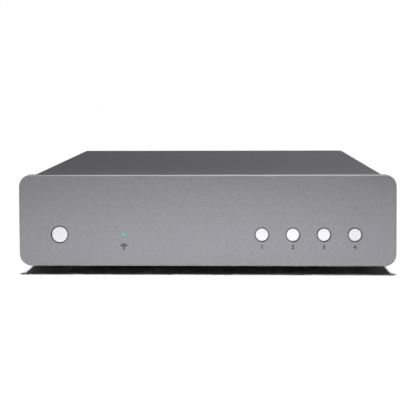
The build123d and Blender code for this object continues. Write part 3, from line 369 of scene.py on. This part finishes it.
# Status lamp: an acrylic pipe, moulded clear and lit cyan from behind, so its end glows evenly

statusLook = dict(
    pipe="#021a1a", glow="#05dcd2", strength=1.0, roughness=0.6, specular=0.1,
    grainMm=0.4, bumpMm=0.004)


def litAcrylic():
    look = statusLook
    material, tree, surface, place = newMaterial("litAcrylic", {
        "Base Color": linearColour(look["pipe"]), "Roughness": look["roughness"],
        "Specular IOR Level": look["specular"],
        "Emission Color": linearColour(look["glow"]), "Emission Strength": look["strength"]})
    scale = {"Scale": 1 / (look["grainMm"] * mm)}
    grain = addNode(tree, "ShaderNodeTexNoise", scale, {"Vector": place}).outputs["Fac"]
    depth = {"Strength": 1.0, "Distance": look["bumpMm"] * mm}
    bump = addNode(tree, "ShaderNodeBump", depth, {"Height": grain}).outputs[0]
    tree.links.new(bump, surface.inputs["Normal"])
    return material


dress(litAcrylic(), "light_pipe", "status_lamp")
print("status lamp lit")


# Modelling helpers

nearly = 0.9  # past this share of a size or a normal, an edge or a face is picked
smoothAngle = 35  # degrees between faces, up to which they are shaded as one round


def openEdit(piece):
    bpy.ops.object.select_all(action="DESELECT")
    piece.select_set(True)
    bpy.context.view_layer.objects.active = piece
    bpy.ops.object.mode_set(mode="EDIT")
    bpy.ops.mesh.select_all(action="DESELECT")


def pick(kind, test):
    # In edit mode, selects the edges or faces whose middle passes the test
    bpy.ops.mesh.select_all(action="DESELECT")
    bpy.ops.mesh.select_mode(type=kind)
    mesh = bmesh.from_edit_mesh(bpy.context.edit_object.data)
    for part in {"EDGE": mesh.edges, "FACE": mesh.faces}[kind]:
        if test(sum((corner.co for corner in part.verts), Vector()) / len(part.verts), part):
            part.select_set(True)
    bmesh.update_edit_mesh(bpy.context.edit_object.data)


def settle(piece, name, material):
    # Puts the piece's place in its mesh, dresses it and hangs it on the case, as all of them do
    bpy.ops.object.mode_set(mode="OBJECT")
    bpy.ops.object.select_all(action="DESELECT")
    piece.select_set(True)
    bpy.context.view_layer.objects.active = piece
    bpy.ops.object.transform_apply(location=True, rotation=True, scale=True)
    bpy.ops.object.shade_smooth_by_angle(angle=math.radians(smoothAngle))
    piece.name = piece.data.name = name
    dress(material, name)
    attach(piece, "case")


def cutAway(piece, cutter):
    bpy.ops.object.mode_set(mode="OBJECT")
    cut = piece.modifiers.new("cut", "BOOLEAN")
    cut.operation = "DIFFERENCE"
    cut.object = cutter
    bpy.context.view_layer.objects.active = piece
    bpy.ops.object.modifier_apply(modifier=cut.name)
    bpy.data.objects.remove(cutter)


# Screws: pan heads with a cross recess, and rings for a thread, each in the place of a plain one

screwLook = dict(
    headRadius=2.75, headHeight=1.9, edge=0.65, shankRadius=1.45, ringPitch=0.5, ringDepth=0.2,
    recessLength=3.1, recessWidth=0.75, recessDepth=1.2)
recessTaper = 0.6  # the recess's floor, as a share of its mouth
driverTurn = 37  # degrees from one screw to the next, so that no two stop at the same angle
weldMm = 0.001  # the loose triangles' points are joined when closer than this
screwCoats = {
    "case_screws": "blackZincPlate", "foot_screws": "blackZincPlate", "board_screws": "zincPlatedSteel"}


def plainScrews(node):
    # Where the plain screws of a group stand, by the middle under each head and the way in, and
    # the length that they share
    group = nodes[node].copy()
    group.data = group.data.copy()
    bpy.context.scene.collection.objects.link(group)
    openEdit(group)
    bpy.ops.mesh.select_all(action="SELECT")
    bpy.ops.mesh.remove_doubles(threshold=weldMm * mm)
    bpy.ops.mesh.separate(type="LOOSE")
    bpy.ops.object.mode_set(mode="OBJECT")
    stands = []
    for plain in sorted(bpy.context.selected_objects, key=lambda part: part.name):
        corners = [Vector(corner) for corner in plain.bound_box]
        middle = sum(corners, Vector()) / len(corners)
        points = [point.co for point in plain.data.vertices]
        lean = sum(points, Vector()) / len(points) - middle  # a screw has most points at its head
        axis = max(range(3), key=lambda side: abs(lean[side]))
        inward = Vector((0, 0, 0))
        inward[axis] = -math.copysign(1, lean[axis])
        length = plain.dimensions[axis] - screwLook["headHeight"] * mm
        tip = middle + inward * plain.dimensions[axis] / 2
        stands.append((tip - inward * length, inward))
        bpy.data.objects.remove(plain)
    return stands, length


def makeScrew(length):
    # Stands on Z with the underside of its head at the origin, as all are placed by that point
    size = {name: value * mm for name, value in screwLook.items()}
    bpy.ops.object.select_all(action="DESELECT")
    bpy.ops.mesh.primitive_cylinder_add(
        vertices=32, radius=size["headRadius"], depth=size["headHeight"],
        location=(0, 0, -size["headHeight"] / 2))
    screw = bpy.context.object
    bpy.ops.object.transform_apply(location=True)
    openEdit(screw)
    pick("EDGE", lambda middle, edge: middle.z < -nearly * size["headHeight"])
    bpy.ops.mesh.bevel(offset=size["edge"], segments=4, affect="EDGES")
    pick("FACE", lambda middle, face: face.normal.z > nearly)
    bpy.ops.mesh.inset(thickness=size["headRadius"] - size["shankRadius"])
    groove = 1 - size["ringDepth"] / size["shankRadius"]
    halfRing = size["ringPitch"] / 2
    for step in range(round(length / halfRing)):
        bpy.ops.mesh.extrude_region_move(TRANSFORM_OT_translate={"value": (0, 0, halfRing)})
        ratio = 1 / groove if step % 2 else groove
        bpy.ops.transform.resize(value=(ratio, ratio, 1))
    bpy.ops.object.mode_set(mode="OBJECT")
    for turn in (0, 90):
        bpy.ops.object.select_all(action="DESELECT")
        bpy.ops.mesh.primitive_cube_add(size=1, location=(0, 0, -size["headHeight"]))
        wing = bpy.context.object
        wing.scale = (size["recessLength"], size["recessWidth"], 2 * size["recessDepth"])
        wing.rotation_euler.z = math.radians(turn)
        bpy.ops.object.transform_apply(location=True, rotation=True, scale=True)
        openEdit(wing)
        pick("FACE", lambda middle, face: face.normal.z > nearly)
        bpy.ops.transform.resize(value=(recessTaper, recessTaper, 1))
        cutAway(screw, wing)
    return screw


def placeScrews(node, finish):
    stands, length = plainScrews(node)
    screw = makeScrew(length)
    for number, (place, inward) in enumerate(stands, 1):
        copy = screw.copy()
        copy.data = screw.data.copy()
        bpy.context.scene.collection.objects.link(copy)
        lay = inward.to_track_quat("Z", "Y").to_matrix().to_4x4()
        driven = Matrix.Rotation(math.radians(driverTurn * number), 4, "Z")
        copy.data.transform(Matrix.Translation(place) @ lay @ driven)
        settle(copy, f"{node}_{number}", finish)
        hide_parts(node)
    bpy.data.objects.remove(screw)
    print(node, "placed:", len(stands))


for node, finish in screwCoats.items():
    placeScrews(node, finishes[finish])


# Bus port contacts: four plated strips under the tongue, rounded where the plug meets them

busLook = dict(
    offsets=(-3.5, -1.0, 1.0, 3.5), width=1.0, length=7.2, thickness=0.16,
    dropFromTop=2.65, setback=0.475, round=0.05)


def addBusContacts():
    look = busLook
    low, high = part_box("usb_port_tongue")
    under = high.z - look["dropFromTop"] * mm
    end = high.y - look["setback"] * mm
    for number, offset in enumerate(look["offsets"], 1):
        bpy.ops.object.select_all(action="DESELECT")
        bpy.ops.mesh.primitive_cube_add(size=1, location=(
            (low.x + high.x) / 2 + offset * mm, end - look["length"] / 2 * mm,
            under - look["thickness"] / 2 * mm))
        strip = bpy.context.object
        strip.scale = (look["width"] * mm, look["length"] * mm, look["thickness"] * mm)
        bpy.ops.object.transform_apply(location=True, scale=True)
        openEdit(strip)
        pick("EDGE", lambda middle, edge: middle.z < under - nearly * look["thickness"] * mm)
        bpy.ops.mesh.bevel(offset=look["round"] * mm, segments=3, affect="EDGES")
        settle(strip, f"bus_port_contact_{number}", finishes["goldPlate"])


addBusContacts()
print("bus port contacts added:", len(busLook["offsets"]))


# Print on the face: plain numbers under the presets and a wireless symbol under the lamp

printLook = dict(
    thickness=0.02, sink=0.004,
    digitHeight=2.25, digitWeight=0.045, digitDrop=7.0,
    symbolDrop=8.2, symbolShift=0.07, dotRadius=0.54, arcs=((1.05, 1.88), (2.15, 2.97)),
    arcHalfAngle=44)
# Pad-printed ink: thin, matt and a little uneven where the pad left it
inkLook = dict(
    dark="#18181a", light="#242427", settings={},
    grainMm=0.25, bumpMm=0.002, roughLow=0.58, roughHigh=0.62)
textDepth = 0.05  # how deep a letter is drawn before it is brought to the ink's thickness


def printOnFace(piece, name, x, z, material):
    # Turns a flat shape that faces up so that it faces the front, and lays it on the face
    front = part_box("face_plate")[0].y
    piece.rotation_euler = (math.radians(90), 0, 0)
    piece.location = (x, front + printLook["sink"] * mm, z)
    settle(piece, name, material)


def printDigit(number, material):
    button = middleOf(f"preset_button_{number}")
    bpy.ops.object.select_all(action="DESELECT")
    bpy.ops.object.text_add()
    bpy.context.object.data.body = str(number)
    bpy.context.object.data.offset = printLook["digitWeight"]
    bpy.context.object.data.extrude = textDepth
    bpy.ops.object.convert(target="MESH")
    digit = bpy.context.object
    corners = [Vector(corner) for corner in digit.bound_box]
    middle = sum(corners, Vector()) / len(corners)
    size = printLook["digitHeight"] * mm / digit.dimensions.y
    thin = printLook["thickness"] * mm / digit.dimensions.z
    digit.data.transform(Matrix.Diagonal((size, size, thin, 1)) @ Matrix.Translation(
        (-middle.x, -middle.y, textDepth)))
    printOnFace(
        digit, f"printed_digit_{number}", button.x, button.z - printLook["digitDrop"] * mm, material)


def printSymbol(material):
    look = printLook
    lamp = middleOf("light_pipe")
    bpy.ops.object.select_all(action="DESELECT")
    bpy.ops.mesh.primitive_circle_add(vertices=32, radius=look["dotRadius"] * mm, fill_type="NGON")
    symbol = bpy.context.object
    openEdit(symbol)
    for inner, outer in look["arcs"]:
        bpy.ops.mesh.select_all(action="DESELECT")
        bpy.ops.mesh.primitive_circle_add(vertices=144, radius=outer * mm, fill_type="NOTHING")
        bpy.ops.mesh.extrude_edges_move()
        bpy.ops.transform.resize(value=(inner / outer, inner / outer, 1))
    edge = math.cos(math.radians(look["arcHalfAngle"]))
    reach = 2 * look["dotRadius"] * mm
    pick("FACE", lambda middle, face: middle.length > reach and middle.y < edge * middle.length)
    bpy.ops.mesh.delete(type="FACE")
    bpy.ops.mesh.select_all(action="SELECT")
    bpy.ops.mesh.extrude_region_move(TRANSFORM_OT_translate={"value": (0, 0, look["thickness"] * mm)})
    bpy.ops.mesh.select_all(action="SELECT")
    bpy.ops.mesh.normals_make_consistent(inside=False)
    printOnFace(
        symbol, "printed_wireless_symbol", lamp.x + look["symbolShift"] * mm,
        lamp.z - look["symbolDrop"] * mm, material)


ink = speckledMaterial("padPrintedInk", **inkLook)
for number in range(1, 5):
    printDigit(number, ink)
printSymbol(ink)
print("face printed")


# Stage, light and camera

stageLook = dict(
    floorSize=8.0, floorColour="#dcdcdc", floorSeen=1.5,
    sweepStart=0.6, sweepFull=0.2, sweepStrength=1.0,
    windowStart=-0.2, windowFull=0.2, windowStrength=3.0,
    ceilingStart=0.3, ceilingFull=0.7, ceilingStrength=0.02)
lampLook = {
    # A wide overhead bank, and a pool on the paper before the case
    "overhead": dict(kind="SUN", place=(0, 0.06, 1), target=(0, 0, 0), power=2.1, spread=8),
    "frontPool": dict(
        kind="AREA", place=(0, -0.22, 1.3), target=(0, -0.22, 0), size=(0.3, 0.1),
        power=0.25, spread=14),
}
# Strips just over the paper fill the four sides without lighting the floor under the case
stripPlace = dict(distance=1.6, height=0.002, size=(0.3, 0.003))
stripLook = {
    "frontLow": dict(side=(0, -1), reach=0.1, power=0.0146, spread=5),
    "rearLow": dict(side=(0, 1), reach=0.08, power=0.007, spread=6),
    "leftLow": dict(side=(-1, 0), reach=0.1, power=0.007, spread=6),
    "rightLow": dict(side=(1, 0), reach=0.1, power=0.007, spread=6),
}
cameraLook = dict(
    placeMm=(13.1, -563.3, 108.4), lens=70.77, sensor=36, yaw=1.51, pitch=1.68, roll=-0.21,
    shiftY=-0.239, clipStart=0.01)


def lookingRays(tree):
    # Two values: the first is 1 for rays from the camera, and the second also for those mirrored or
    # passed on by glass that haven't yet met a matt surface. Both are 0 for light on its way to one
    path = addNode(tree, "ShaderNodeLightPath").outputs
    direct = path["Is Camera Ray"]
    turned = addNode(
        tree, "ShaderNodeMath", {"operation": "MAXIMUM"},
        {0: path["Is Glossy Ray"], 1: path["Is Transmission Ray"]}).outputs[0]
    fresh = addNode(
        tree, "ShaderNodeMath", {"operation": "LESS_THAN", 1: 0.5},
        {0: path["Diffuse Depth"]}).outputs[0]
    mirrored = addNode(
        tree, "ShaderNodeMath", {"operation": "MULTIPLY"}, {0: turned, 1: fresh}).outputs[0]
    seen = addNode(
        tree, "ShaderNodeMath", {"operation": "MAXIMUM"}, {0: direct, 1: mirrored}).outputs[0]
    return direct, seen


def addStage():
    bpy.ops.mesh.primitive_plane_add(size=stageLook["floorSize"])
    floor = bpy.context.object
    floor.name = "floor"
    material = bpy.data.materials.new("palePaper")
    material.use_nodes = True
    tree = material.node_tree
    tree.nodes.clear()
    # The paper's own tone lights the case, and whoever looks at it sees it white
    tones = {
        "data_type": "RGBA", 6: linearColour(stageLook["floorColour"]),
        7: (*[stageLook["floorSeen"]] * 3, 1.0)}
    colour = addNode(tree, "ShaderNodeMix", tones, {0: lookingRays(tree)[1]}).outputs[2]
    matt = addNode(tree, "ShaderNodeBsdfDiffuse", links={"Color": colour})
    addNode(tree, "ShaderNodeOutputMaterial", links={"Surface": matt.outputs[0]})
    floor.data.materials.append(material)


def addWorld():
    world = bpy.data.worlds.new("studio")
    bpy.context.scene.world = world
    world.use_nodes = True
    tree = world.node_tree
    tree.nodes.clear()
    direct, seen = lookingRays(tree)
    # Mirrors and metals see the white sweep low down, and surfaces are lit by the ceiling
    direction = addNode(tree, "ShaderNodeTexCoord").outputs["Generated"]
    toward = addNode(tree, "ShaderNodeSeparateXYZ", links={0: direction}).outputs
    parts = {}
    for part, axis in (("sweep", "Z"), ("window", "X"), ("ceiling", "Z")):
        limits = {
            "From Min": stageLook[part + "Start"], "From Max": stageLook[part + "Full"],
            "To Min": 0.0, "To Max": stageLook[part + "Strength"]}
        parts[part] = addNode(tree, "ShaderNodeMapRange", limits, {"Value": toward[axis]}).outputs[0]
    # Behind the case the sweep is bright on the right and dark on the left, which the cover shows
    behind = addNode(
        tree, "ShaderNodeMath", {"operation": "GREATER_THAN", 1: 0.0}, {0: toward["Y"]}).outputs[0]
    sided = addNode(tree, "ShaderNodeMix", {2: 1.0}, {0: behind, 3: parts["window"]}).outputs[0]
    sweep = addNode(
        tree, "ShaderNodeMath", {"operation": "MULTIPLY"}, {0: parts["sweep"], 1: sided}).outputs[0]
    shown = addNode(
        tree, "ShaderNodeMath", {"operation": "MAXIMUM"}, {0: direct, 1: sweep}).outputs[0]
    strength = addNode(
        tree, "ShaderNodeMix", links={0: seen, 2: parts["ceiling"], 3: shown}).outputs[0]
    sky = addNode(
        tree, "ShaderNodeBackground", {"Color": (1, 1, 1, 1)}, {"Strength": strength})
    addNode(tree, "ShaderNodeOutputWorld", links={"Surface": sky.outputs[0]})


def addLamp(name, kind, place, target, power, spread, size=None):
    data = bpy.data.lights.new(name, kind)
    data.energy = power
    if kind == "SUN":
        data.angle = math.radians(spread)
    else:
        data.shape = "RECTANGLE"
        data.size, data.size_y = size
        data.spread = math.radians(spread)
    lamp = bpy.data.objects.new(name, data)
    bpy.context.scene.collection.objects.link(lamp)
    lamp.location = place
    lamp.rotation_mode = "QUATERNION"
    lamp.rotation_quaternion = (Vector(target) - Vector(place)).to_track_quat("-Z", "Y")
    lamp.visible_camera = False


def addStrip(name, side, reach, power, spread):
    x, y = side
    far, height = stripPlace["distance"], stripPlace["height"]
    place, target = (far * x, far * y, height), (reach * x, reach * y, height)
    addLamp(name, "AREA", place, target, power, spread, stripPlace["size"])


def addCamera():
    look = cameraLook
    data = bpy.data.cameras.new("camera")
    data.lens = look["lens"]
    data.sensor_width = look["sensor"]
    data.shift_y = look["shiftY"]
    data.clip_start = look["clipStart"]
    camera = bpy.data.objects.new("camera", data)
    bpy.context.scene.collection.objects.link(camera)
    camera.location = [value * mm for value in look["placeMm"]]
    turn = Matrix.Rotation(math.radians(look["yaw"]), 4, "Z")
    turn = turn @ Matrix.Rotation(math.radians(90 - look["pitch"]), 4, "X")
    turn = turn @ Matrix.Rotation(math.radians(look["roll"]), 4, "Z")
    camera.rotation_euler = turn.to_euler()
    bpy.context.scene.camera = camera


addStage()
addWorld()
for name, look in lampLook.items():
    addLamp(name, **look)
for name, look in stripLook.items():
    addStrip(name, **look)
addCamera()
bpy.context.scene.view_settings.view_transform = "Standard"
print("stage, light and camera set")
